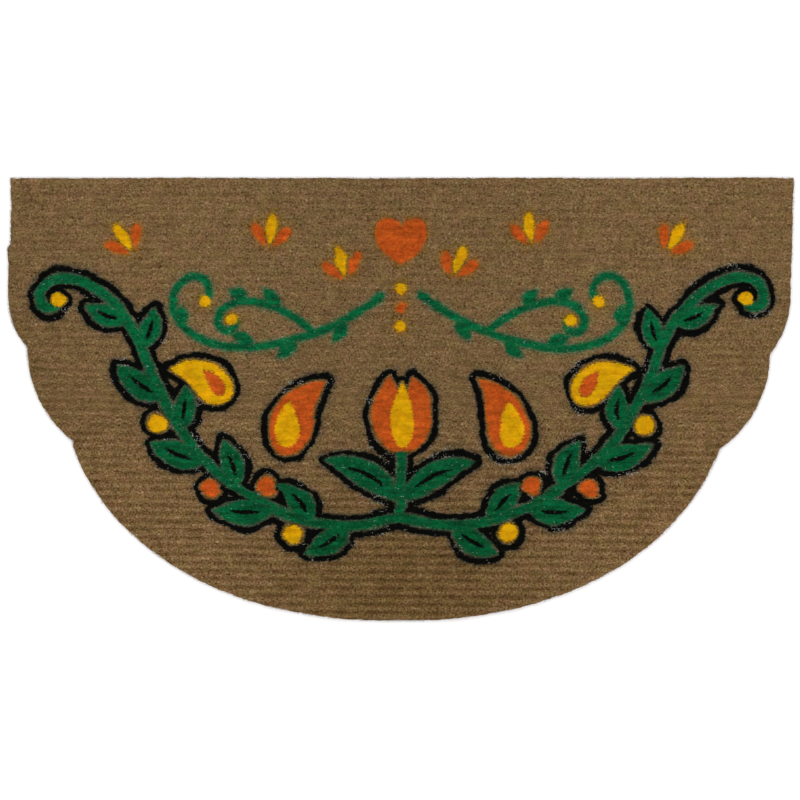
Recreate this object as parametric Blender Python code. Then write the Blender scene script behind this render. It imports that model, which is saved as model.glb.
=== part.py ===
"""A half-round doormat of ribbed needle felt, lying flat with its ribs up.

Metres, +Z up. The straight back edge runs along X at +Y and the round front faces -Y.
The origin is on the floor, under the middle of the mat.
"""

import math

import bmesh
import bpy
from mathutils import Vector

# Driving sizes
DEPTH = 0.394            # from the straight back edge to the front of the round
RIB_COUNT = 55           # ribs over the depth, parallel to the back edge
BASE_THICKNESS = 0.0042  # felt left under the grooves between the ribs
RIB_HEIGHT_BACK = 0.0012  # the ribs are trodden flatter towards the back edge
RIB_HEIGHT_FRONT = 0.0022

BACK_Y = DEPTH / 2
RIB_PITCH = DEPTH / RIB_COUNT

# One rib across its pitch: (share of the pitch, share of the rib's height)
RIB_PROFILE = (
    (0.00, 0.00),
    (0.24, 0.78),
    (0.50, 1.00),
    (0.76, 0.78),
)

# The cut sides between the back corners and the lobes: (x, y)
LEFT_SIDE = (
    (-0.3473, BACK_Y),
    (-0.3464, 0.174),
    (-0.3471, 0.163),
    (-0.3474, 0.1380),
    (-0.3501, 0.1345),
    (-0.3488, 0.1230),
)
RIGHT_SIDE = (
    (0.3501, BACK_Y),
    (0.3493, 0.163),
    (0.3485, 0.128),
)

# Each lobe starts straight down at a notch and curves in towards the middle:
# (x of its start, y of its start, radius, y of its end)
LEFT_LOBES = (
    (-0.3492, 0.0886, 0.0602, 0.0468),
    (-0.3325, 0.0468, 0.1065, -0.0370),
)
RIGHT_LOBES = (
    (0.3470, 0.0922, 0.0822, 0.0405),
    (0.3288, 0.0405, 0.1024, -0.0441),
)
LOBE_STEPS = 10

# The round front is the lower half of a superellipse, between the last notches
FRONT_CENTRE = Vector((-0.0032, 0.0387))
FRONT_HALF_WIDTH = 0.3018
FRONT_HALF_DEPTH = BACK_Y + FRONT_CENTRE.y
FRONT_POWER = 2.2
FRONT_STEPS = 96

FELT_BROWN = (0.165, 0.100, 0.041, 1.0)
SAME_PLACE = 1e-6


def clear_scene():
    for obj in list(bpy.data.objects):
        bpy.data.objects.remove(obj, do_unlink=True)


def lobe(start_x, start_y, radius, end_y):
    """Points of one lobe, from its upper notch to its lower one."""
    inward = -math.copysign(1.0, start_x)
    centre_x = start_x + inward * radius
    sweep = math.asin((start_y - end_y) / radius)
    points = []
    for step in range(LOBE_STEPS + 1):
        angle = sweep * step / LOBE_STEPS
        x = centre_x - inward * radius * math.cos(angle)
        points.append((x, start_y - radius * math.sin(angle)))
    return points


def front_angle(y):
    """The superellipse's angle below its centre at which the edge reaches y."""
    return math.asin(((FRONT_CENTRE.y - y) / FRONT_HALF_DEPTH) ** (FRONT_POWER / 2))


def front(left_y, right_y):
    """Points of the round front from the left notch to the right one, without its ends."""
    first = front_angle(left_y)
    last = math.pi - front_angle(right_y)
    points = []
    for step in range(1, FRONT_STEPS):
        angle = first + (last - first) * step / FRONT_STEPS
        across = -math.copysign(abs(math.cos(angle)) ** (2 / FRONT_POWER), math.cos(angle))
        down = math.sin(angle) ** (2 / FRONT_POWER)
        points.append(
            (
                FRONT_CENTRE.x + FRONT_HALF_WIDTH * across,
                FRONT_CENTRE.y - FRONT_HALF_DEPTH * down,
            )
        )
    return points


def outline():
    """The mat's edge, anticlockwise from above, starting at the left back corner."""
    left = list(LEFT_SIDE)
    for row in LEFT_LOBES:
        left += lobe(*row)
    right = list(RIGHT_SIDE)
    for row in RIGHT_LOBES:
        right += lobe(*row)
    points = left + front(left[-1][1], right[-1][1]) + right[::-1]
    kept = []
    for point in points:
        if not kept or math.dist(point, kept[-1]) > SAME_PLACE:
            kept.append(point)
    return kept


def rib_lines():
    """Every straight line of the ribbed face as (y, z), from the back edge to the front."""
    lines = []
    for rib in range(RIB_COUNT):
        along = rib / (RIB_COUNT - 1)
        height = RIB_HEIGHT_BACK + (RIB_HEIGHT_FRONT - RIB_HEIGHT_BACK) * along
        for share, rise in RIB_PROFILE:
            lines.append((BACK_Y - RIB_PITCH * (rib + share), BASE_THICKNESS + height * rise))
    lines.append((BACK_Y - DEPTH, BASE_THICKNESS))
    return lines


def height_at(y, lines):
    """Height of the ribbed face at y, straight between its lines."""
    for (back_y, back_z), (front_y, front_z) in zip(lines, lines[1:]):
        if y >= front_y - SAME_PLACE:
            share = (back_y - y) / (back_y - front_y)
            return back_z + (front_z - back_z) * min(max(share, 0.0), 1.0)
    return lines[-1][1]


def cut_top(body, top_z, lines):
    """Cuts the flat top along every rib line and lifts its points onto the ribs."""
    for y, _ in lines[1:-1]:
        top_faces = [face for face in body.faces if face.normal.z > 0.5]
        edges = {edge for face in top_faces for edge in face.edges}
        verts = {vert for face in top_faces for vert in face.verts}
        bmesh.ops.bisect_plane(
            body,
            geom=top_faces + list(edges) + list(verts),
            dist=SAME_PLACE,
            plane_co=(0.0, y, 0.0),
            plane_no=(0.0, 1.0, 0.0),
        )
    for vert in body.verts:
        if abs(vert.co.z - top_z) < SAME_PLACE:
            vert.co.z = height_at(vert.co.y, lines)


def felt():
    material = bpy.data.materials.new("needle felt")
    material.use_nodes = True
    shader = material.node_tree.nodes["Principled BSDF"]
    shader.inputs["Base Color"].default_value = FELT_BROWN
    shader.inputs["Roughness"].default_value = 0.95
    shader.inputs["Metallic"].default_value = 0.0
    return material


def make_mat():
    top_z = BASE_THICKNESS + RIB_HEIGHT_FRONT
    body = bmesh.new()
    floor_points = [body.verts.new((x, y, 0.0)) for x, y in outline()]
    underside = body.faces.new(floor_points)
    raised = bmesh.ops.extrude_face_region(body, geom=[underside])
    top_points = [item for item in raised["geom"] if isinstance(item, bmesh.types.BMVert)]
    bmesh.ops.translate(body, verts=top_points, vec=(0.0, 0.0, top_z))
    bmesh.ops.recalc_face_normals(body, faces=body.faces)
    cut_top(body, top_z, rib_lines())
    bmesh.ops.recalc_face_normals(body, faces=body.faces)
    mesh = bpy.data.meshes.new("mat")
    body.to_mesh(mesh)
    body.free()
    mesh.materials.append(felt())
    mat = bpy.data.objects.new("mat", mesh)
    bpy.context.scene.collection.objects.link(mat)
    return mat


clear_scene()
make_mat()
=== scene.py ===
"""Looks of a half-round doormat: ribbed needle felt with a printed garland.

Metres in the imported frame: the straight back edge is at +Y, the round front at -Y and the
ribs point up. The printed ornament and the materials' patterns alone are in millimetres, from
the mat's middle.
"""

import math

import bpy
import numpy as np
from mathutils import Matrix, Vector
from mathutils.geometry import delaunay_2d_cdt


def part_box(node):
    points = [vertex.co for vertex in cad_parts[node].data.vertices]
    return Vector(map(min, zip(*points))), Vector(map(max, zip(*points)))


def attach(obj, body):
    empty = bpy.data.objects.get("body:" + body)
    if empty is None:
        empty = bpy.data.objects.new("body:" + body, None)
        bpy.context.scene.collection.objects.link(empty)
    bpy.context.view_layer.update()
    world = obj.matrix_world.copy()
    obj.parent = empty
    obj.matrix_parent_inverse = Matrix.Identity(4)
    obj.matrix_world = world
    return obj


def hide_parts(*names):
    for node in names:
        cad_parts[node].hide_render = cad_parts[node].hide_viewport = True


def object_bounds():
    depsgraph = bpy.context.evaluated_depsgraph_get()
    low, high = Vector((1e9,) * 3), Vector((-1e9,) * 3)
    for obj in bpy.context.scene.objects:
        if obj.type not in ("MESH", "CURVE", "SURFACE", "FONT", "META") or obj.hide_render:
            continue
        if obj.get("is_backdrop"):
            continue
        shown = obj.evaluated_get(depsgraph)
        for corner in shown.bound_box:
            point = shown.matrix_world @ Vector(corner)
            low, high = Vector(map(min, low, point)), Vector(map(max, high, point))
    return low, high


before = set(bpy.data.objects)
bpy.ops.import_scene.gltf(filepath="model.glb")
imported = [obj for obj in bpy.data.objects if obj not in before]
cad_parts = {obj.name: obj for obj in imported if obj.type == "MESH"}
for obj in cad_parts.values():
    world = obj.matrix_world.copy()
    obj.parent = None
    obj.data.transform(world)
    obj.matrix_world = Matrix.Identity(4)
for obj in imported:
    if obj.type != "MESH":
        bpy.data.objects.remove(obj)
cad_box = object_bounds()

MM = 0.001
MAT_LOW, MAT_HIGH = (np.array(corner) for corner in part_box("mat"))
WIDTH, DEPTH = (MAT_HIGH - MAT_LOW)[:2]
BACK_Y = MAT_HIGH[1]

# The felt, as its solid has it
RIB_COUNT = 55
PITCH = DEPTH / RIB_COUNT
BASE_THICKNESS = 4.2 * MM
RIB_HEIGHT_BACK = 1.2 * MM
RIB_HEIGHT_FRONT = 2.2 * MM
FACE_HEIGHT = 5.5 * MM    # of the ribbed face, on average

# Its ribs and grooves
STRAIGHT_RIBS = 4         # by the back edge, over which the ribs start to wander
DOWNHILL = 0.0085         # slope of the ribs in front, down to the right
CREST_FULLNESS = 0.75     # under 1 makes the crests broad and the grooves narrow
RIB_UNEVENNESS = 0.16     # share by which the ribs are higher or lower in places
GROOVE_OPENING = 0.78     # share of a groove that isn't filled up with pile, on average
OPENING_CHANGE = 0.32     # how much that changes along a groove
LEAST_OPENING = 0.1

# Shade painted into the grooves, from 0 to 1
GROOVE_SHADE_BASE = 0.28               # everywhere
FRONT_GROOVE_SHADE = 0.51       # more in front
LEFT_END_GROOVE_SHADE = 0.24          # more at the two ends
RIGHT_END_GROOVE_SHADE = 0.14

# The cut edge
LIP = 0.9 * MM            # width over which it rounds off
RIM_DROP = 0.55 * MM      # how far its rim lies below the face
LIP_DROP = 0.12 * MM      # how far the lip's inner side does
BULGE = 0.25 * MM         # how far it swells or shrinks half-way down
FOOT_INSET = 0.35 * MM    # how far in it meets the floor

# Fineness of the visible mesh
ROWS_A_RIB = 6
ROW_SPACING = PITCH / ROWS_A_RIB
COLUMN_SPACING = 2.25 * MM
EDGE_SPACING = 1.3 * MM
UNDERSIDE_SPACING = 14 * MM


def smooth_step(share):
    share = np.clip(share, 0.0, 1.0)
    return share * share * (3 - 2 * share)


def ramp(value, start, end):
    """0 up to the start and 1 from the end on, with a smooth rise between."""
    return smooth_step((value - start) / (end - start))


def grain(x, y, size, seed):
    """A smooth random field from -1 to 1 whose lumps are about size across."""
    cells = 256
    table = np.random.default_rng(seed).uniform(-1, 1, (cells, cells))
    u, v = np.asarray(x) / size, np.asarray(y) / size
    i, j = np.floor(u).astype(int), np.floor(v).astype(int)
    f, g = smooth_step(u - i), smooth_step(v - j)
    i, j, i1, j1 = i % cells, j % cells, (i + 1) % cells, (j + 1) % cells
    near = table[i, j] * (1 - f) + table[i1, j] * f
    far = table[i, j1] * (1 - f) + table[i1, j1] * f
    return near * (1 - g) + far * g


def layers(x, y, *parts, base=0.0):
    """The base and random fields on top, each given as its strength, size and seed."""
    for strength, size, seed in parts:
        base = base + strength * grain(x, y, size, seed)
    return base


def points_of(mesh):
    """The mesh's points as rows of (x, y, z)."""
    points = np.empty(len(mesh.vertices) * 3, np.float32)
    mesh.vertices.foreach_get("co", points)
    return points.reshape(-1, 3).astype(float)


# Shape of the felt


def front_share(y):
    """0 at the back edge and 1 at the front."""
    return (BACK_Y - y) / DEPTH


def wander(x, y):
    """How far the ribs stray towards +Y: they run a little downhill to the right in front."""
    slope = -DOWNHILL * ramp(front_share(y), 0, 0.7)
    stray = layers(x, y, (0.7 * MM, 110 * MM, 3), (0.2 * MM, 17 * MM, 4), base=slope * x)
    return stray * ramp(BACK_Y - y, 0, STRAIGHT_RIBS * PITCH)


def ribs_from_back(x, y):
    """Number of ribs between the back edge and a place: its fraction runs from groove to groove."""
    return (BACK_Y - y + wander(x, y)) / PITCH


def rib_wave(x, y):
    """0 in a groove and 1 on a crest, as a plain wave."""
    return 0.5 - 0.5 * np.cos(2 * math.pi * ribs_from_back(x, y))


def groove_opening(x, y):
    """How open a groove is at a place along it: pile fills it up here and there.

    Each groove reads the random fields in a row of its own.
    """
    groove = np.floor(ribs_from_back(x, y) + 0.5)
    along = grain(x, groove * 7.3 * MM, 9 * MM, 8) + 0.6 * grain(x, groove * 5.1 * MM, 3 * MM, 9)
    return np.clip(GROOVE_OPENING + OPENING_CHANGE * along, LEAST_OPENING, 1.0)


def groove_depth(x, y):
    """Share of the rib's height that is missing at a place, 0 on a crest."""
    return (1 - rib_wave(x, y) ** CREST_FULLNESS) * groove_opening(x, y)


def groove_shade_share(x, y):
    """Share of painted shade at a place in the grooves: least at the back, most in front."""
    front = np.clip(front_share(y), 0, 1)
    off_middle = np.abs(x)
    front_shading = ramp(front, 0.42, 0.75) * (1 - 0.22 * ramp(off_middle, 0, 0.15))
    ends = ramp(off_middle, 0.2, 0.3) * ramp(front, 0.15, 0.45) * (1 - front_shading)
    share = GROOVE_SHADE_BASE + FRONT_GROOVE_SHADE * front_shading + np.where(x < 0, LEFT_END_GROOVE_SHADE, RIGHT_END_GROOVE_SHADE) * ends
    broad_wave = rib_wave(x, y) ** (1.1 - 0.35 * front)
    return (1 - broad_wave) * groove_opening(x, y) * share


def felt_height(x, y):
    """Height of the felt's upper face."""
    height = RIB_HEIGHT_BACK + (RIB_HEIGHT_FRONT - RIB_HEIGHT_BACK) * front_share(y)
    height = height * (1 + RIB_UNEVENNESS * grain(x, y, 23 * MM, 5))
    lumps = layers(x, y, (0.16 * MM, 4.2 * MM, 6), (0.12 * MM, 2.1 * MM, 7))
    return BASE_THICKNESS + height * (1 - groove_depth(x, y)) + lumps


def floor_outline(node):
    """The node's edge on the floor, anticlockwise, as rows of (x, y).

    All of the edge is in view from its centre, so its points are put in order by their angle.
    """
    points = points_of(bpy.data.objects[node].data)
    on_floor = points[:, 2] < 0.01 * MM
    points = np.unique(np.round(points[on_floor][:, :2], 7), axis=0)
    centre_y = 0.25 * BACK_Y
    return points[np.argsort(np.arctan2(points[:, 1] - centre_y, points[:, 0]))]


def spaced(loop, spacing):
    """The closed loop with points added along its sides, so that its corners stay."""
    rows = []
    for start, end in zip(loop, np.roll(loop, -1, 0)):
        count = max(1, round(float(np.hypot(*(end - start))) / spacing))
        rows.append(start + (end - start) * np.arange(count)[:, None] / count)
    return np.concatenate(rows)


def outward(loop):
    """Unit vectors that point out of an anticlockwise loop."""
    along = np.roll(loop, -1, 0) - np.roll(loop, 1, 0)
    normal = np.stack([along[:, 1], -along[:, 0]], 1)
    return normal / np.linalg.norm(normal, axis=1, keepdims=True)


def run_along(line):
    """Distance along a line at each of its points."""
    return np.concatenate([[0], np.cumsum(np.hypot(*np.diff(line, axis=0).T))])


def ragged(loop):
    """The loop as a knife leaves it: a little wavy, with short nicks."""
    run = run_along(loop)
    stray = layers(run, run * 0, (0.32, 45 * MM, 11), (0.36, 9 * MM, 12), (0.34, 2.6 * MM, 13))
    return loop + outward(loop) * (stray * MM)[:, None]


def to_line(px, py, line, closed):
    """Distance from points to a line of straight pieces, and whether a closed one holds them."""
    ends = np.roll(line, -1, 0) if closed else line[1:]
    starts = line if closed else line[:-1]
    squared = np.full(px.shape, np.inf)
    inside = np.zeros(px.shape, bool)
    for (ax, ay), (bx, by) in zip(starts, ends):
        dx, dy = bx - ax, by - ay
        share = ((px - ax) * dx + (py - ay) * dy) / max(dx * dx + dy * dy, 1e-18)
        share = np.clip(share, 0.0, 1.0)
        squared = np.minimum(squared, (px - ax - share * dx) ** 2 + (py - ay - share * dy) ** 2)
        if closed and dy:
            inside ^= ((ay > py) != (by > py)) & (px < dx * (py - ay) / dy + ax)
    return np.sqrt(squared), inside


def depth_inside(x, y):
    """Distance in from the mat's edge, negative outside it."""
    gap, inside = to_line(x, y, OUTLINE, True)
    return np.where(inside, gap, -gap)


def triangles_in(loop, inner):
    """Points and triangles that fill the loop through the inner points, with its own first."""
    points = [Vector(point) for point in np.concatenate([loop, inner])]
    inside_only = 1
    tolerance = 1e-8
    found = delaunay_2d_cdt(points, [], [list(range(len(loop)))], inside_only, tolerance)
    return np.array([tuple(point) for point in found[0]]), found[2]


def rib_points():
    """Rows of points that follow the ribs, with a row in every groove."""
    columns = np.arange(MAT_LOW[0], MAT_HIGH[0], COLUMN_SPACING)
    rows = []
    for row in range(1, RIB_COUNT * ROWS_A_RIB):
        x = columns + COLUMN_SPACING / 2 * (row % 2)
        y = BACK_Y - row * ROW_SPACING
        rows.append(np.stack([x, y + wander(x, y)], 1))
    points = np.concatenate(rows)
    return points[depth_inside(*points.T) > 1.6 * LIP]


def upper_face(edge):
    """Points and triangles of the ribbed face, with the edge's points first."""
    lip = edge - outward(edge) * LIP
    points, triangles = triangles_in(edge, np.concatenate([lip, rib_points()]))
    height = felt_height(*points.T)
    height[: len(edge)] -= RIM_DROP
    height[len(edge) : 2 * len(edge)] -= LIP_DROP
    return np.column_stack([points, height]), triangles


def underside(edge):
    """Points and triangles of the flat underside, with those under the edge first."""
    foot = edge - outward(edge) * FOOT_INSET
    columns = np.arange(MAT_LOW[0], MAT_HIGH[0], UNDERSIDE_SPACING)
    rows = np.arange(MAT_LOW[1], BACK_Y, UNDERSIDE_SPACING)
    grid = np.array([(x, y) for x in columns for y in rows])
    grid = grid[depth_inside(*grid.T) > UNDERSIDE_SPACING / 2]
    points, triangles = triangles_in(foot, grid)
    return np.column_stack([points, np.zeros(len(points))]), triangles


def make_felt():
    """The mat as one closed mesh: ribbed face, cut edge and flat underside."""
    edge = ragged(spaced(OUTLINE, EDGE_SPACING))
    face, face_triangles = upper_face(edge)
    under, under_triangles = underside(edge)
    count = len(edge)
    run = np.arange(count) * EDGE_SPACING
    bulge = BULGE * grain(run, run * 0, 3 * MM, 21)
    waist = np.column_stack([edge + outward(edge) * bulge[:, None], face[:count, 2] * 0.5])

    waist_at = len(face)
    under_at = waist_at + count
    faces = [tuple(triangle) for triangle in face_triangles]
    for first in range(count):
        after = (first + 1) % count
        faces.append((first, waist_at + first, waist_at + after, after))
        faces.append((waist_at + first, under_at + first, under_at + after, waist_at + after))
    for triangle in under_triangles:
        faces.append(tuple(under_at + corner for corner in reversed(triangle)))
    mesh = bpy.data.meshes.new("felt")
    mesh.from_pydata(np.concatenate([face, waist, under]).tolist(), [], faces)
    mesh.shade_smooth()
    return mesh


# Lines and shapes of the printed ornament, in millimetres

PETAL_STEPS = 14
CURVE_STEPS = 8
TENDRIL_STEPS = 39


def petal(x, y, heading, length, width, bend=0.0, base=1.0, tip=1.0):
    """Closed outline of a leaf, petal or paisley drop along a bent middle line.

    base and tip say how each end closes: 0.5 is round and 1 is pointed.
    """
    share = (1 - np.cos(np.linspace(0, math.pi, PETAL_STEPS))) / 2
    widest = base / (base + tip)
    peak = widest**base * (1 - widest) ** tip
    half = width / 2 * share**base * (1 - share) ** tip / peak
    angle = math.radians(heading) + math.radians(bend) * share
    step = np.diff(share) * length
    between = (angle[1:] + angle[:-1]) / 2
    middle_x = x + np.concatenate([[0], np.cumsum(step * np.cos(between))])
    middle_y = y + np.concatenate([[0], np.cumsum(step * np.sin(between))])
    left = np.stack([middle_x - half * np.sin(angle), middle_y + half * np.cos(angle)], 1)
    right = np.stack([middle_x + half * np.sin(angle), middle_y - half * np.cos(angle)], 1)
    return np.concatenate([left, right[-2:0:-1]])


def curve(*points):
    """A smooth line through the points."""
    p = np.array(points, float)
    p = np.concatenate([[2 * p[0] - p[1]], p, [2 * p[-1] - p[-2]]])
    t = np.linspace(0, 1, CURVE_STEPS, endpoint=False)[:, None]
    rows = []
    for a, b, c, d in zip(p, p[1:], p[2:], p[3:]):
        bow = (2 * a - 5 * b + 4 * c - d) * t**2 + (3 * b - a - 3 * c + d) * t**3
        rows.append(0.5 * (2 * b + (c - a) * t + bow))
    return np.concatenate(rows + [p[-2:-1]])


def tendril(x, y, heading, length, bend, curl):
    """A line that bends evenly and then curls up towards its end, both in degrees."""
    share = np.linspace(0, 1, TENDRIL_STEPS + 1)
    angle = np.radians(heading + bend * share + curl * share**5)
    way = np.stack([np.cos(angle[:-1]), np.sin(angle[:-1])], 1)
    return (x, y) + np.concatenate([[(0, 0)], np.cumsum(way, axis=0) * length / TENDRIL_STEPS])


def dot(x, y):
    """A line so short that its stroke is round."""
    return np.array([(x, y), (x + 0.1, y)])


def place_on(line, share):
    """x, y and heading in degrees at a share of a line's length."""
    run = run_along(line)
    x, y = (np.interp(share * run[-1], run, values) for values in line.T)
    piece = min(int(np.searchsorted(run, share * run[-1])), len(line) - 1)
    way = line[piece] - line[piece - 1]
    return x, y, math.degrees(math.atan2(way[1], way[0]))


def ahead(x, y, heading, distance):
    """The place at a distance from another, in the direction of the heading."""
    angle = math.radians(heading)
    return x + distance * math.cos(angle), y + distance * math.sin(angle)


# The print, in millimetres

COLOURS = ("green", "orange", "yellow", "black")  # in the order of printing
NEAR = 0.8                # gap between a leaf or stalk and its black outline
WIDE = 2.4                # gap between a petal, drop or berry and its black outline
OUTLINE_WIDTH = 5.0
OVERPRINT = 2.6           # how far an ink runs on under the ones that are printed over it
TRIM = 0.4                # how far an ink runs on over a shape that comes after it
FAR = 18.0                # at this distance, and past it, a place counts as clear of the print
RIB_SLIP = 0.9            # how far a rib's print usually is from its place, to the left or right

# The ornament's right half, in millimetres from the mat's middle. The left half mirrors it

STALK = curve((0, -104), (0, -72), (0, -40))
STALK_RADIUS = 4.6
STALK_LEAF = (2, -90, 50, 76, 24, -42)  # x, y, heading, length, width, bend

VINE = np.concatenate([
    curve((0, -104), (46, -113), (96, -104), (146, -78), (188, -40), (216, 8), (232, 48)),
    tendril(234, 52, 64, 150, -70, -300)[1:],
])
VINE_RADIUS = 4.7
VINE_TIP_RADIUS = 6.5
# Leaves on the vine: share of its length, side (1 is inwards), length, width, lean
VINE_LEAVES = (
    (0.10, -1, 48, 22, 42),
    (0.17, 1, 46, 22, 48),
    (0.25, -1, 54, 24, 40),
    (0.33, 1, 46, 22, 50),
    (0.41, -1, 54, 24, 40),
    (0.49, 1, 41, 21, 50),
    (0.56, -1, 50, 23, 40),
    (0.66, 1, 39, 20, 50),
    (0.72, -1, 41, 20, 46),
)
LEAF_BEND = -26
# Berries beside the vine: share of its length, side, ink
VINE_BERRIES = (
    (0.20, -1, "yellow"),
    (0.28, 1, "orange"),
    (0.37, -1, "orange"),
    (0.52, -1, "yellow"),
)
BERRY_RADIUS = 8.0
BERRY_REACH = 15          # from the vine's middle line

# Petals of the tulip and the two drops: ink, gap to the outline, then what petal takes
BLOOMS = (
    ("orange", WIDE, (0, -44, 124, 66, 30, -50, 0.55, 0.9)),
    ("yellow", WIDE, (0, -42, 90, 56, 21, 0, 0.55)),
    ("orange", WIDE, (96, -50, 78, 78, 38, 70, 0.5, 1.05)),
    ("yellow", None, (98, -43, 80, 42, 22, 26, 0.5, 0.9)),
    ("yellow", WIDE, (158, -4, 70, 62, 31, -75, 0.5, 1.05)),
    ("orange", None, (160, 2, 68, 30, 14, -26, 0.5, 0.9)),
)

STEM = tendril(18, 92, -36, 284, 64, 320)
BRANCH = tendril(*place_on(STEM, 0.24)[:2], 42, 132, -62, -340)
SCROLL_RADIUS = 3.9
SCROLL_TIP_RADIUS = 5.2
# Leaves on these two: line, share of its length, side (1 is left of its way), lean, length
SCROLL_LEAVES = (
    (STEM, 0.13, -1, 40, 24),
    (STEM, 0.30, -1, 38, 24),
    (STEM, 0.43, 1, 44, 24),
    (STEM, 0.68, 1, 44, 20),
    (BRANCH, 0.30, 1, 44, 22),
    (BRANCH, 0.50, 1, 40, 20),
)
SCROLL_LEAF_WIDTH = 13
SCROLL_LEAF_BEND = -22

# Sprays of three petals: x, y, heading
SPRAYS = (
    (46, 104, 72),
    (236, 128, 58),
    (118, 132, 96),
)
# One spray's petals: ink, turn, length
SPRAY_PETALS = (
    ("orange", 34, 22),
    ("orange", -34, 22),
    ("yellow", 0, 27),
)
SPRAY_PETAL_WIDTH = 9.5
SPRAY_HOLLOW = 7          # from the middle of a spray to where its petals start

HEART_HALF = petal(13, 162, 265, 46, 25, -28, 0.5, 1.0)
# Dots under the heart: y, ink
DOTS = (
    (98, "yellow"),
    (82, "orange"),
    (66, "yellow"),
)
DOT_RADIUS = 4.6


def leaf_with_vein(x, y, heading, length, width, bend):
    """A leaf and the vein along its middle."""
    start = ahead(x, y, heading + 0.1 * bend, 0.22 * length)
    vein = petal(*start, heading + 0.15 * bend, 0.5 * length, 4.0, 0.8 * bend, 0.5, 0.6)
    yield "green", petal(x, y, heading, length, width, bend, 0.8), 0, NEAR
    yield "black", vein, 0, None


def vine():
    """The stalk in the middle, and the vine with its leaves and berries."""
    yield "green", STALK, STALK_RADIUS, NEAR
    yield "green", VINE, VINE_RADIUS, NEAR
    yield "yellow", dot(*VINE[-1]), VINE_TIP_RADIUS, NEAR
    yield from leaf_with_vein(*STALK_LEAF)
    for share, side, length, width, lean in VINE_LEAVES:
        x, y, way = place_on(VINE, share)
        yield from leaf_with_vein(x, y, way + side * lean, length, width, LEAF_BEND * side)
    for share, side, ink in VINE_BERRIES:
        x, y, way = place_on(VINE, share)
        yield ink, dot(*ahead(x, y, way + 90 * side, BERRY_REACH)), BERRY_RADIUS, WIDE


def scrolls():
    """The thin scrolls without an outline, with their leaves."""
    for scroll in (STEM, BRANCH):
        yield "green", scroll, SCROLL_RADIUS, None
        yield "yellow", dot(*scroll[-1]), SCROLL_TIP_RADIUS, None
    for scroll, share, side, lean, length in SCROLL_LEAVES:
        x, y, way = place_on(scroll, share)
        bend = SCROLL_LEAF_BEND * side
        leaf = petal(x, y, way + side * lean, length, SCROLL_LEAF_WIDTH, bend, 0.9)
        yield "green", leaf, 0, None


def spray(x, y, heading):
    """Three small petals that fan out from one place."""
    for ink, turn, length in SPRAY_PETALS:
        start = ahead(x, y, heading + turn, SPRAY_HOLLOW)
        yield ink, petal(*start, heading + turn, length, SPRAY_PETAL_WIDTH, 0, 0.9, 0.6), 0, None


def ornament():
    """Every printed shape of the right half, from the first to the last.

    Each is (ink, line, stroke radius or 0 for a closed shape, gap to its black outline or None).
    """
    yield from vine()
    for ink, gap, values in BLOOMS:
        yield ink, petal(*values), 0, gap
    yield from scrolls()
    for place in SPRAYS:
        yield from spray(*place)
    yield "orange", HEART_HALF, 0, None
    for y, ink in DOTS:
        yield ink, dot(0, y), DOT_RADIUS, None


def distance_to(px, py, line, radius):
    """Signed distance in millimetres to one shape, up to FAR."""
    low, high = line.min(0) - radius - FAR, line.max(0) + radius + FAR
    near = (px > low[0]) & (px < high[0]) & (py > low[1]) & (py < high[1])
    found = np.full(px.shape, FAR)
    gap, inside = to_line(px[near], py[near], line, radius == 0)
    found[near] = np.minimum(np.where(inside, -gap, gap) - radius, FAR)
    return found


def print_places(x, y):
    """Places on the mat in the drawing's millimetres, a little off as hand and ribs print it."""
    px, py = x / MM, y / MM
    rib = np.clip(np.floor(ribs_from_back(x, y)).astype(int), 0, RIB_COUNT)
    slip = np.random.default_rng(31).normal(0, RIB_SLIP, RIB_COUNT + 1)[rib]
    slip = slip * (0.4 + 0.6 * front_share(y))
    hand_x = layers(px, py, (1.9, 52, 32), (0.5, 11, 33))
    hand_y = layers(px, py, (1.9, 52, 34), (0.5, 11, 35))
    return px + slip + hand_x, py + hand_y


def print_distances(x, y):
    """Millimetres to each ink at places in metres, negative inside it.

    "halo" is the distance to where the black outline of the nearest motif starts.
    """
    px, py = print_places(x, y)
    found = {ink: np.full(px.shape, FAR) for ink in COLOURS}
    halo = np.full(px.shape, FAR)
    for ink, line, radius, gap in ornament():
        for side in (1, -1):
            away = distance_to(px, py, line * (side, 1), radius)
            for other in COLOURS:
                covers = COLOURS.index(other) > COLOURS.index(ink)
                cut = -away - (TRIM if covers else OVERPRINT)
                found[other] = np.maximum(found[other], cut)
            found[ink] = np.minimum(found[ink], away)
            if gap is not None:
                halo = np.minimum(halo, away - gap)
    start = layers(px, py, (1.2, 17, 36), (0.7, 5, 37))
    end = layers(px, py, (1.7, 21, 38), (0.7, 4, 39), base=start + OUTLINE_WIDTH)
    found["black"] = np.minimum(found["black"], np.maximum(start - halo, halo - end))
    found["halo"] = halo
    return found


# Materials


def shade(red, green, blue):
    """Linear colour of an sRGB one given from 0 to 255."""
    shares = [value / 255 for value in (red, green, blue)]
    return [s / 12.92 if s <= 0.04045 else ((s + 0.055) / 1.055) ** 2.4 for s in shares]


# Browns of the felt's fibres, and the share of the loose ones that has each
BROWNS = {
    "dark": shade(54, 29, 3),
    "middle": shade(122, 94, 56),
    "fair": shade(138, 110, 71),
    "light": shade(180, 153, 114),
}
BROWN_SHARES = (0.09, 0.41, 0.41, 0.09)
LINT = shade(192, 196, 190)  # stray pale fibres on the print
STAIN = shade(44, 62, 44)  # felt between a leaf and its outline

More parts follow.
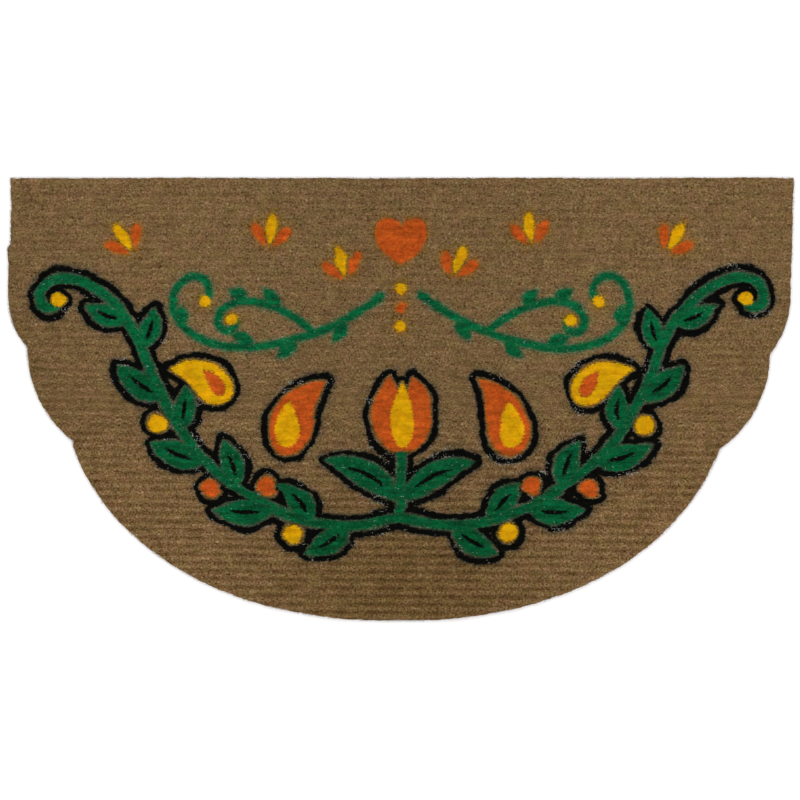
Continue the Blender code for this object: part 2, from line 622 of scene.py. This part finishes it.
# Tints that multiply the felt's colour
DEEP_TUFT = (0.74, 0.63, 0.43)
PALE_TUFT = (1.09, 1.16, 1.33)
# dark specks: painted shade in the holes between fibres
HOLE_SHADE = (0.47, 0.33, 0.12)
KNOT = (1.27, 1.40, 1.76)
ROSY = (1.025, 0.975, 1.03)
OLIVE = (0.98, 1.022, 0.955)
FRONT_PATCH_TINT = (0.865, 0.855, 0.76)
# painted shade that darkens the grooves
GROOVE_SHADE_TINT = (0.34, 0.27, 0.12)
INKED_GROOVE = 0.45       # share of a groove's painted shade left where ink has filled it
FRONT_PATCH_PLACE = (0, -185, 0)  # middle of a darker stretch in front
FRONT_PATCH_STRETCH = 1.5        # how much wider than deep that stretch is

INKS = {
    "green": shade(1, 90, 51),
    "orange": shade(196, 86, 26),
    "yellow": shade(220, 165, 4),
    "black": shade(3, 4, 2),
}
# How far the felt shows where an ink is thin, and how uneven the ink's brightness is
THINNESS = {"green": 0.13, "orange": 0.10, "yellow": 0.04, "black": 0.04}
UNEVENNESS = {"green": 1.25, "orange": 0.85, "yellow": 0.4, "black": 1.0}
# How ragged its edges are, and over how many millimetres it thins out towards them
RAGGEDNESS = {"green": 8.0, "orange": 9.0, "yellow": 8.0, "black": 4.5}
THINNING = {"green": 1.6, "orange": 0.8, "yellow": 0.6, "black": 0.4}
# Tint of the felt right beside an ink, from what soaks out of it, and share of the loose fibres
# there that take the ink
SOAKED = {
    "green": (0.45, 1.0, 1.25),
    "orange": (1.18, 0.88, 0.30),
    "yellow": (1.25, 1.04, 0.0),
    "black": (0.36, 0.50, 0.80),
}
SOAKED_FIBRES = {"green": 0.4, "orange": 0.15, "yellow": 0.15, "black": 0.5}
# Share of both that is left a millimetre further out
SOAK_FALL = {"green": 0.49, "orange": 0.64, "yellow": 0.64, "black": 0.60}

SHEEN = 0.03              # of bare fibres
INK_SMOOTHNESS = 0.12     # how much less rough ink makes them
RELIEF_STRENGTH = 0.7
RELIEF_DEPTH = 0.35 * MM
FIBRE_DARKEST = 0.72      # range of brightness among loose fibres of one kind
FIBRE_LIGHTEST = 1.25
TUFT_HEIGHT = 2.5         # how far a tuft runs on downwards, against its width
FLAT = 1e6                # a stretch that leaves a pattern the same at every height


class Nodes:
    """Builds one material's nodes, with short calls for the kinds used here."""

    def __init__(self, name, sheen=SHEEN):
        self.material = bpy.data.materials.new(name)
        self.material.use_nodes = True
        self.tree = self.material.node_tree
        self.shader = self.tree.nodes["Principled BSDF"]
        self.shader.inputs["Specular IOR Level"].default_value = 0.05
        self.shader.inputs["Sheen Weight"].default_value = sheen
        self.shader.inputs["Sheen Roughness"].default_value = 0.5

    def feed(self, socket, given):
        """Links a socket to the given one, or sets it to the given value."""
        if isinstance(given, bpy.types.NodeSocket):
            self.tree.links.new(given, socket)
        elif socket.type == "RGBA":
            socket.default_value = (*given, 1.0)
        else:
            socket.default_value = given

    def add(self, kind, *values, **settings):
        """A node with its first inputs fed from the values."""
        node = self.tree.nodes.new("ShaderNode" + kind)
        for name, value in settings.items():
            setattr(node, name, value)
        for socket, value in zip(node.inputs, values):
            self.feed(socket, value)
        return node

    def place(self, stretch=(1, 1, 1), turn=0.0):
        """Millimetres from the middle of the face, turned in degrees and stretched by axis."""
        node = self.add("Mapping", self.add("TexCoord").outputs["Object"], vector_type="TEXTURE")
        node.inputs["Location"].default_value = (0, 0, FACE_HEIGHT)
        node.inputs["Rotation"].default_value = (0, 0, math.radians(turn))
        node.inputs["Scale"].default_value = [MM * s for s in stretch]
        return node.outputs[0]

    def from_middle(self):
        """Millimetres to the right and to the back of the mat's middle."""
        return self.add("SeparateXYZ", self.place()).outputs[:2]

    def noise(self, size, detail=1.0, stretch=(1, 1, 1), turn=0.0):
        """Random blots about size millimetres across."""
        node = self.add("TexNoise", self.place([s * size for s in stretch], turn))
        node.inputs["Scale"].default_value = 1.0
        node.inputs["Detail"].default_value = detail
        return node.outputs["Fac"]

    def maths(self, operation, *values):
        return self.add("Math", *values, operation=operation).outputs[0]

    def spread(self, value, low, high, to_low=0.0, to_high=1.0):
        """Maps low to high onto another range, smoothly and within it."""
        ranges = (value, low, high, to_low, to_high)
        return self.add("MapRange", *ranges, interpolation_type="SMOOTHSTEP").outputs[0]

    def mix(self, share, first, second, way="MIX"):
        node = self.add("Mix", data_type="RGBA", blend_type=way)
        sockets = [socket for socket in node.inputs if socket.enabled]
        for socket, given in zip(sockets, (share, first, second)):
            self.feed(socket, given)
        return next(socket for socket in node.outputs if socket.enabled)

    def scaled(self, tint, factor):
        """The tint made lighter or darker by a factor."""
        node = self.add("VectorMath", tint, operation="SCALE")
        self.feed(node.inputs["Scale"], factor)
        return node.outputs[0]

    def attribute(self, name):
        return self.add("Attribute", attribute_name=name).outputs["Fac"]

    def finish(self, colour, roughness, relief=None):
        """Feeds the shader and gives the material."""
        self.feed(self.shader.inputs["Base Color"], colour)
        self.feed(self.shader.inputs["Roughness"], roughness)
        if relief is not None:
            bump = self.add("Bump")
            self.feed(bump.inputs["Height"], relief)
            self.feed(bump.inputs["Strength"], RELIEF_STRENGTH)
            self.feed(bump.inputs["Distance"], RELIEF_DEPTH)
            self.feed(self.shader.inputs["Normal"], bump.outputs[0])
        return self.material


def slowly_varied(nodes, colour):
    """The colour with the felt's slow drift of hue and brightness: darker in a broad stretch at the
    front middle, lighter towards the front, and dimmer in the middle and at the left end.
    """
    drift = nodes.spread(nodes.noise(11, 1.0, (1.3, 1, FLAT)), 0.35, 0.65)
    colour = nodes.mix(1.0, colour, nodes.mix(drift, ROSY, OLIVE), "MULTIPLY")
    where = nodes.place((FRONT_PATCH_STRETCH, 1, FLAT))
    apart = nodes.add("VectorMath", where, FRONT_PATCH_PLACE, operation="DISTANCE")
    front_patch = nodes.spread(apart.outputs["Value"], 20, 120, 1.0, 0.0)
    colour = nodes.mix(front_patch, colour, FRONT_PATCH_TINT, "MULTIPLY")
    x, y = nodes.from_middle()
    light = nodes.spread(y, -99, 32, 1.12, 1.0)
    mottling = nodes.spread(nodes.noise(9, 1.0, (1.3, 1, FLAT)), 0.3, 0.7, 0.9, 1.1)
    dim_middle = nodes.spread(nodes.maths("ABSOLUTE", x), 52.5, 195, 0.925, 1.0)
    dim_left_end = nodes.spread(x, -345, -270, 0.94, 1.0)
    for part in (mottling, dim_middle, dim_left_end):
        light = nodes.maths("MULTIPLY", light, part)
    return nodes.scaled(colour, light)


def tufted(nodes, colour, upright):
    """The colour in deep and pale tufts about a millimetre across, plainest at the back.

    upright says how far the tufts run on downwards, against their width.
    """
    tufts = nodes.spread(nodes.noise(1.7, 1.5, (1.1, 1.1, upright)), 0.32, 0.66)
    share = nodes.spread(nodes.from_middle()[1], -90, 70, 1.0, 0.67)
    colour = nodes.mix(share, colour, nodes.mix(tufts, DEEP_TUFT, PALE_TUFT), "MULTIPLY")
    specks = nodes.noise(1.7, 0.5, (1.1, 1, upright))
    # painted shade in the holes between fibres, as dark specks
    colour = nodes.mix(nodes.spread(specks, 0.62, 0.72), colour, HOLE_SHADE, "MULTIPLY")
    return nodes.mix(nodes.spread(specks, 0.38, 0.28), colour, KNOT, "MULTIPLY")


def heather(nodes):
    """The felt's own mixed browns: tufts of each shade with single fibres across them."""
    flecks = nodes.spread(nodes.noise(0.8, 1.0, (1.6, 1, 1)), 0.46, 0.66)
    colour = nodes.mix(flecks, BROWNS["middle"], BROWNS["fair"])
    for turn, kind in ((8, "light"), (-31, "dark"), (47, "light"), (-68, "dark")):
        strand = nodes.spread(nodes.noise(0.24, 1.0, (11, 1, 3), turn), 0.58, 0.66, 0.0, 0.7)
        colour = nodes.mix(strand, colour, BROWNS[kind])
    return tufted(nodes, colour, TUFT_HEIGHT)


def brighter_to_back(nodes, green):
    """The green, brighter towards the back."""
    return nodes.scaled(green, nodes.spread(nodes.from_middle()[1], 10, 50, 1.0, 1.24))


def stained(nodes, colour):
    """The colour with the stain that fills the gap between a leaf and its outline."""
    share = nodes.spread(nodes.attribute("halo"), 0.0, 3.0, 0.35, 0.0)
    for name, start, end in (("halo", -0.4, -3.0), ("green", 1.5, 3.0)):
        near = nodes.spread(nodes.attribute(name), start, end, 1.0, 0.0)
        share = nodes.maths("MULTIPLY", share, near)
    return nodes.mix(share, colour, STAIN)


def ink_edges(nodes):
    """Millimetres to each ink, negative inside it, with edges as ragged as felt makes them."""
    rag = nodes.maths("SUBTRACT", nodes.noise(0.9, 2.0, (2.6, 1, 1)), 0.5)
    edges = {}
    for name in COLOURS:
        edges[name] = nodes.maths("MULTIPLY_ADD", rag, RAGGEDNESS[name], nodes.attribute(name))
    return edges


def soaked(nodes, colour, edges):
    """The colour with the ink that has soaked out into the felt, further in some patches."""
    patches = nodes.spread(nodes.noise(3.5, 1.0, (1.3, 1, 1)), 0.3, 0.7, 0.45, 1.6)
    for name, edge in edges.items():
        away = nodes.maths("MULTIPLY", nodes.maths("MAXIMUM", edge, 0.0), patches)
        share = nodes.maths("POWER", SOAK_FALL[name], away)
        colour = nodes.mix(share, colour, SOAKED[name], "MULTIPLY")
    return colour


def printed(nodes, colour, edges):
    """The colour with the inks over it, and the share of each place that they cover."""
    blots = nodes.spread(nodes.noise(1.3, 2.0, (1.6, 1, 1)), 0.3, 0.7, -0.34, 0.16)
    streaks = nodes.spread(nodes.noise(5.0, 2.0, (4, 1, 1)), 0.3, 0.7, -0.20, 0.16)
    uneven = nodes.maths("ADD", blots, streaks)
    bare = nodes.spread(nodes.noise(1.9, 2.0, (1.5, 1, 1)), 0.30, 0.47, 1.0, 0.0)
    inked = 0.0
    for name, edge in edges.items():
        cover = nodes.maths("MULTIPLY_ADD", bare, -THINNESS[name], 1.0)
        full = nodes.spread(edge, -THINNING[name], 0.5, 1.0, 0.0)
        share = nodes.maths("MULTIPLY", cover, full)
        tone = nodes.maths("MULTIPLY_ADD", uneven, UNEVENNESS[name], 0.98)
        ink = brighter_to_back(nodes, INKS[name]) if name == "green" else INKS[name]
        colour = nodes.mix(share, colour, nodes.scaled(ink, tone))
        inked = nodes.maths("MAXIMUM", inked, share)
    return colour, inked


def groove_shaded(nodes, colour, edges):
    """The colour with shade painted into the grooves, which ink covers in part."""
    groove_shade = nodes.attribute("groove")
    for edge in edges.values():
        groove_shade = nodes.maths("MULTIPLY", groove_shade, nodes.spread(edge, -0.5, 0.5, INKED_GROOVE, 1.0))
    return nodes.mix(groove_shade, colour, GROOVE_SHADE_TINT, "MULTIPLY")


def felt_material():
    nodes = Nodes("printed felt")
    edges = ink_edges(nodes)
    colour = soaked(nodes, stained(nodes, heather(nodes)), edges)
    colour, inked = printed(nodes, colour, edges)
    colour = slowly_varied(nodes, groove_shaded(nodes, colour, edges))
    fuzz = nodes.spread(nodes.noise(0.9, 1.0), 0.3, 0.7, 0.94, 1.0)
    roughness = nodes.maths("MULTIPLY_ADD", inked, -INK_SMOOTHNESS, fuzz)
    crossed = [nodes.noise(0.3, 2.0, (7, 1, 2), turn) for turn in (15, -40)]
    return nodes.finish(colour, roughness, nodes.maths("ADD", *crossed))


def pile_material(name, fibre):
    """Looks of the loose fibres of one shade, ink or lint."""
    inked = name in INKS
    nodes = Nodes("pile " + name, sheen=0.0 if inked else SHEEN)
    vary = nodes.noise(3.2, 1.0, (1, 1, FLAT))
    dark = [value * FIBRE_DARKEST for value in fibre]
    light = [value * FIBRE_LIGHTEST for value in fibre]
    colour = nodes.mix(nodes.spread(vary, 0.35, 0.65), dark, light)
    if name == "green":
        colour = brighter_to_back(nodes, colour)
    if not inked:
        colour = tufted(nodes, colour, FLAT)
    return nodes.finish(slowly_varied(nodes, colour), nodes.spread(vary, 0.3, 0.7, 0.86, 1.0))


# Loose fibres over the felt

# Lengths, rises and thicknesses are ranges in millimetres. A fibre's points lie at shares of its
# length and at lifts, which are shares of its rise
SHORT_FIBRES = {
    "count": 90000,
    "lengths": (1.3, 2.9),
    "rises": (0.2, 0.6),
    "thickness": (0.10, 0.17),
    "shares": (0.0, 0.45, 1.0),
    "lifts": (-0.6, 1.0, -0.5),
}
LONG_FIBRES = {
    "count": 16000,
    "lengths": (2.4, 4.6),
    "rises": (0.2, 0.8),
    "thickness": (0.09, 0.16),
    "shares": (0.0, 0.36, 0.70, 1.0),
    "lifts": (-0.5, 1.0, 0.85, -0.35),
}
HEADING_SPREAD = 0.9      # in radians, about the way of the ribs
FIBRE_BEND = 0.8
GROOVE_FILL = 0.80        # share of the fibres that a groove keeps at the back
GROOVE_THINNING = 0.62    # how much less it keeps in front

EDGE_COUNT = 6500
EDGE_THICKNESS = (0.07, 0.13)
EDGE_HEIGHTS = (0.5, 5.2)  # between which fibres stick out of the cut edge, in millimetres
ROOT_DEPTH = 0.9 * MM     # how deep behind the cut they start
FLOOR_CLEARANCE = 0.35 * MM

SPECK_SIZE = 1.2 * MM     # of dark or light fibres that gather
SPECK_LEVEL = 0.55        # of the random field, above which they do
SPECK_CHANCE = 0.75
FIBRE_SHIFT = 0.5 * MM    # how far fibres have moved since the print
FRINGE = 1.2              # millimetres to each side of where a black outline starts
LEAF_SIDE = 2             # millimetres from the green within which that outline is a leaf's
# Chances of a fibre in the fringe to be black and to be lint, beside a leaf and elsewhere
FRINGE_BLACK = (0.6, 0.3)
FRINGE_LINT = (0.10, 0.05)
# Chances of a fibre to be lint: along the edges of black outlines, more in clumps, and on green
LINT_CHANCE = 0.02
CLUMP_LINT_CHANCE = 0.6
GREEN_LINT_CHANCE = 0.03
CLUMP_SIZE = 13 * MM


def scatter(count, rng):
    """Places all over the felt, thinned out in the grooves."""
    kept = []
    found = 0
    while found < count:
        x = rng.uniform(MAT_LOW[0], MAT_HIGH[0], count)
        y = rng.uniform(MAT_LOW[1], BACK_Y, count)
        fill = GROOVE_FILL - GROOVE_THINNING * ramp(front_share(y), 0, 0.65)
        chance = fill + (1 - fill) * ramp(rib_wave(x, y), 0.06, 0.66)
        keep = (depth_inside(x, y) > 0.3 * MM) & (rng.uniform(0, 1, count) < chance)
        kept.append(np.stack([x[keep], y[keep]], 1))
        found += int(keep.sum())
    return np.concatenate(kept)[:count]


def surface_fibres(roots, sort, rng):
    """Points along fibres that leave the felt, arch over and go back in."""
    count = len(roots)
    shares, lifts = np.array(sort["shares"]), np.array(sort["lifts"])
    heading = rng.normal(0, HEADING_SPREAD, count) + math.pi * rng.integers(0, 2, count)
    length = rng.uniform(*sort["lengths"], count) * MM
    turn = rng.normal(0, FIBRE_BEND, count)
    rise = rng.uniform(*sort["rises"], count) * MM
    angle = heading[:, None] + turn[:, None] * (shares - 0.5)
    reach = length[:, None] * (shares - 0.5)
    x = roots[:, :1] + reach * np.cos(angle)
    y = roots[:, 1:] + reach * np.sin(angle)
    return np.stack([x, y, felt_height(x, y) + rise[:, None] * lifts], 2)


def edge_fibres(count, rng):
    """Points along fibres that stick out of the cut edge, mostly by half a millimetre or so."""
    edge = spaced(OUTLINE, 0.4 * MM)
    out = outward(edge)
    pick = rng.integers(0, len(edge), count)
    out = np.column_stack([out[pick], np.zeros(count)])
    along = np.stack([-out[:, 1], out[:, 0], np.zeros(count)], 1)
    root = np.column_stack([edge[pick], rng.uniform(*EDGE_HEIGHTS, count) * MM])
    reach = rng.gamma(2.2, 0.24, count)[:, None] * MM
    drift = rng.normal(0, 0.9, (count, 1)) * MM
    climb = np.column_stack([np.zeros((count, 2)), rng.normal(0, 0.5, count) * MM])
    middle = root + out * reach + along * drift * 0.5 + climb * 0.5
    end = root + out * reach * rng.uniform(-0.3, 1.5, (count, 1)) + along * drift * 1.4 + climb
    paths = np.stack([root - out * ROOT_DEPTH, middle, end], 1)
    paths[:, :, 2] = np.maximum(paths[:, :, 2], FLOOR_CLEARANCE)
    return paths


def unit(ways):
    """The directions with a length of 1."""
    return ways / (np.linalg.norm(ways, axis=1, keepdims=True) + 1e-12)


def strand_triangles(rings):
    """Triangles of one closed three-sided strand, pointed at both ends."""
    tip = 1 + 3 * rings
    triangles = []
    for corner in range(3):
        after = (corner + 1) % 3
        triangles.append((0, 1 + corner, 1 + after))
        triangles.append((tip, tip - 3 + after, tip - 3 + corner))
        for ring in range(rings - 1):
            a, b = 1 + 3 * ring + corner, 1 + 3 * ring + after
            triangles += [(b, a, b + 3), (b + 3, a, a + 3)]
    return np.array(triangles)


def strands(paths, radius, rng):
    """Points and triangles of closed strands along the paths."""
    count, steps = paths.shape[:2]
    rings = steps - 2
    spin = rng.uniform(0, 2 * math.pi, count)
    corners = np.empty((count, 3 * rings + 2, 3))
    corners[:, 0], corners[:, -1] = paths[:, 0], paths[:, -1]
    for ring in range(rings):
        way = unit(paths[:, ring + 2] - paths[:, ring])
        side = unit(np.cross(way, (0.0, 0.0, 1.0)))
        over = np.cross(side, way)
        for corner in range(3):
            angle = spin + corner * 2 * math.pi / 3
            offset = side * np.cos(angle)[:, None] + over * np.sin(angle)[:, None]
            corners[:, 1 + 3 * ring + corner] = paths[:, ring + 1] + offset * radius[:, None]
    first = np.arange(count)[:, None, None] * corners.shape[1]
    return corners.reshape(-1, 3), (first + strand_triangles(rings)).reshape(-1, 3)


def mesh_of(name, points, triangles):
    mesh = bpy.data.meshes.new(name)
    mesh.vertices.add(len(points))
    mesh.vertices.foreach_set("co", points.astype(np.float32).ravel())
    mesh.loops.add(triangles.size)
    mesh.loops.foreach_set("vertex_index", triangles.astype(np.int32).ravel())
    mesh.polygons.add(len(triangles))
    mesh.polygons.foreach_set("loop_start", np.arange(0, triangles.size, 3, dtype=np.int32))
    mesh.update(calc_edges=True)
    mesh.shade_smooth()
    return mesh


def lay_bake_map(mesh):
    """A map straight down onto the mat, for a piece whose colour depends on its place alone."""
    margin = 5 * MM
    places = points_of(mesh)[:, :2] - MAT_LOW[:2] + margin
    places /= (WIDTH + 2 * margin, DEPTH + 2 * margin)
    corners = np.empty(len(mesh.loops), np.int32)
    mesh.loops.foreach_get("vertex_index", corners)
    layer = mesh.uv_layers.new(name="OFBake")
    layer.data.foreach_set("uv", places[corners].astype(np.float32).ravel())


def fibre_kinds(roots, rng):
    """The shade or ink of the fibre at each place. Dark and light ones gather in specks."""
    count = len(roots)
    kinds = rng.choice(list(BROWNS), count, p=BROWN_SHARES).astype(object)
    chance = rng.uniform(0, 1, count)
    for kind, seed in (("dark", 43), ("light", 44)):
        specks = grain(*roots.T, SPECK_SIZE, seed) > SPECK_LEVEL
        kinds[specks & (chance < SPECK_CHANCE)] = kind
    near = print_distances(*(roots + rng.normal(0, FIBRE_SHIFT, roots.shape)).T)
    chance, spare = rng.uniform(0, 1, (2, count))
    fringe = np.abs(near["halo"]) < FRINGE
    leafy = near["green"] < LEAF_SIDE
    kinds[fringe & (chance < np.where(leafy, *FRINGE_BLACK))] = "black"
    kinds[fringe & (chance > 1 - np.where(leafy, *FRINGE_LINT))] = "lint"
    for ink in COLOURS:
        reach = SOAKED_FIBRES[ink] * SOAK_FALL[ink] ** np.maximum(near[ink], 0)
        kinds[(near[ink] < 0) | (spare < reach)] = ink
    clumps = ramp(grain(*roots.T, CLUMP_SIZE, 42), 0.40, 0.75)
    chance = rng.uniform(0, 1, count)
    outlined = (np.abs(near["black"]) < 2.2) & (near["halo"] > -2) & (near["halo"] < 9)
    kinds[outlined & (chance < LINT_CHANCE + CLUMP_LINT_CHANCE * clumps)] = "lint"
    kinds[(near["green"] < 0) & (chance < GREEN_LINT_CHANCE)] = "lint"
    return kinds


def add_piece(name, mesh, material):
    piece = bpy.data.objects.new(name, mesh)
    bpy.context.scene.collection.objects.link(piece)
    mesh.materials.append(material)
    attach(piece, "root")
    return piece


def make_pile():
    """The loose fibres, joined into one piece for each shade, ink or lint."""
    rng = np.random.default_rng(41)
    sorts = (SHORT_FIBRES, LONG_FIBRES)
    roots = [scatter(sort["count"], rng) for sort in sorts]
    edge = edge_fibres(EDGE_COUNT, rng)
    groups = []
    for sort, places in zip(sorts, roots):
        paths = surface_fibres(places, sort, rng)
        groups.append((paths, sort["thickness"], fibre_kinds(places, rng)))
    groups.append((edge, EDGE_THICKNESS, rng.choice(list(BROWNS), EDGE_COUNT)))
    for name, fibre in (BROWNS | INKS | {"lint": LINT}).items():
        points, triangles = np.empty((0, 3)), np.empty((0, 3), int)
        for paths, thickness, kinds in groups:
            chosen = paths[kinds == name]
            radius = rng.uniform(*thickness, len(chosen)) * MM
            more, faces = strands(chosen, radius, rng)
            triangles = np.concatenate([triangles, faces + len(points)])
            points = np.concatenate([points, more])
        mesh = mesh_of("pile_" + name, points, triangles)
        lay_bake_map(mesh)
        add_piece("pile_" + name, mesh, pile_material(name, fibre))


def make_mat():
    """The felt itself, with the distances to the print and the grooves' painted shade at its
    points.
    """
    mesh = make_felt()
    x, y, z = points_of(mesh).T
    below = z < 2 * MM
    fields = {name: np.where(below, FAR, gap) for name, gap in print_distances(x, y).items()}
    # the groove attribute holds how much painted shade each place in a groove gets
    fields["groove"] = np.where(below, 0.0, groove_shade_share(x, y))
    for name, values in fields.items():
        mesh.attributes.new(name, "FLOAT", "POINT").data.foreach_set("value", values)
    mat = add_piece("felt_mat", mesh, felt_material())
    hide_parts("mat")
    return mat


# Floor, light and camera

FLOOR_SIZE = 8
FLOOR_DROP = 0.1 * MM     # how far it lies below the mat
FLOOR_WHITE = (0.96, 0.96, 0.96)
FLOOR_GLOW = 0.1          # lifts the floor to the photo's white right up to the mat
WHITE = (1, 1, 1, 1)
SKY_STRENGTH = 0.85
# Lamps that face the mat: name, place, size, power
LAMPS = (
    ("softbox", (-0.4, 0.7, 2.4), 2.0, 14),
    ("fill", (0.6, -0.5, 2.4), 1.6, 8),
)
FRAME_WIDTH = 0.7116      # metres across the picture at the mat's face
MAT_OFF = (0.0004, 0.0005)  # how far right and up of the picture's middle the mat lies
CAMERA_HEIGHT = 2.2
SENSOR_WIDTH = 36


def make_floor():
    bpy.ops.mesh.primitive_plane_add(size=FLOOR_SIZE, location=(0, 0, -FLOOR_DROP))
    floor = bpy.context.object
    floor.name = "floor"
    nodes = Nodes("pale floor", sheen=0.0)
    nodes.shader.inputs["Emission Color"].default_value = WHITE
    nodes.shader.inputs["Emission Strength"].default_value = FLOOR_GLOW
    floor.data.materials.append(nodes.finish(FLOOR_WHITE, 0.9))
    floor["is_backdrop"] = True


def make_light():
    world = bpy.data.worlds.new("studio")
    world.use_nodes = True
    sky = world.node_tree.nodes["Background"]
    sky.inputs["Color"].default_value = WHITE
    sky.inputs["Strength"].default_value = SKY_STRENGTH
    bpy.context.scene.world = world
    for name, place, size, power in LAMPS:
        light = bpy.data.lights.new(name, "AREA")
        light.size = size
        light.energy = power
        lamp = bpy.data.objects.new(name, light)
        lamp.location = place
        lamp.rotation_euler = (-Vector(place)).to_track_quat("-Z", "Y").to_euler()
        bpy.context.scene.collection.objects.link(lamp)


def make_camera():
    data = bpy.data.cameras.new("camera")
    data.sensor_width = SENSOR_WIDTH
    data.lens = SENSOR_WIDTH * (CAMERA_HEIGHT - MAT_HIGH[2]) / FRAME_WIDTH
    camera = bpy.data.objects.new("camera", data)
    camera.location = (-MAT_OFF[0], -MAT_OFF[1], CAMERA_HEIGHT)
    bpy.context.scene.collection.objects.link(camera)
    bpy.context.scene.camera = camera


OUTLINE = floor_outline("mat")
mat = make_mat()
make_pile()
make_floor()
make_light()
make_camera()
bpy.context.scene.view_settings.view_transform = "Standard"

boxes = [[list(map(float, corner)) for corner in box] for box in (cad_box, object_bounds())]
